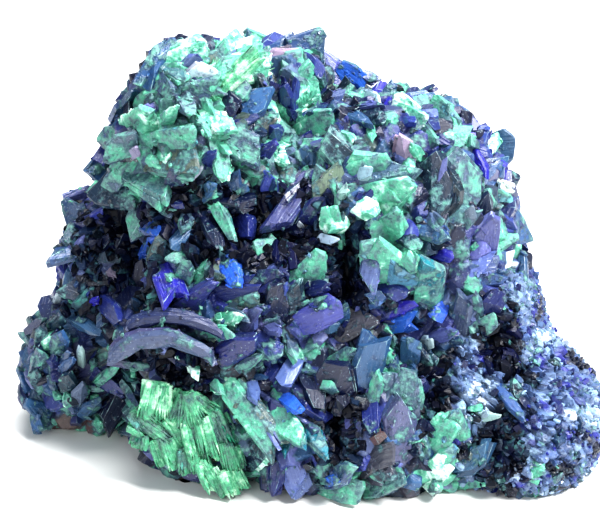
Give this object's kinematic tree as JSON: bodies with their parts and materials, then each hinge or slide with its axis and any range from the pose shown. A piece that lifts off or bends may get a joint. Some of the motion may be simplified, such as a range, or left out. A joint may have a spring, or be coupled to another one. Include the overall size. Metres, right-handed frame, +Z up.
{
  "type": "azurite specimen",
  "caption": "Lumpy cluster of bladed deep-blue azurite crystals, partly altered to green malachite, with a fan of fibrous malachite at the foot and a flat resting face.",
  "frame": {"origin": "on the flat resting face, below the middle of the front's drawing plane", "axes": "+Z up, +X to the right of the front, the front faces -Y"},
  "size_m": [0.097, 0.0664, 0.0676],
  "materials": {
    "azurite": "vitreous crystal faces, deep blue, patchy green alteration",
    "malachite": "silky fibrous, mint to emerald green",
    "druse": "sparkling crust of tiny blue-grey crystals"
  },
  "bodies": {
    "root": {"azurite_cluster": "azurite", "malachite_fan": "malachite"}
  },
  "joints": []
}
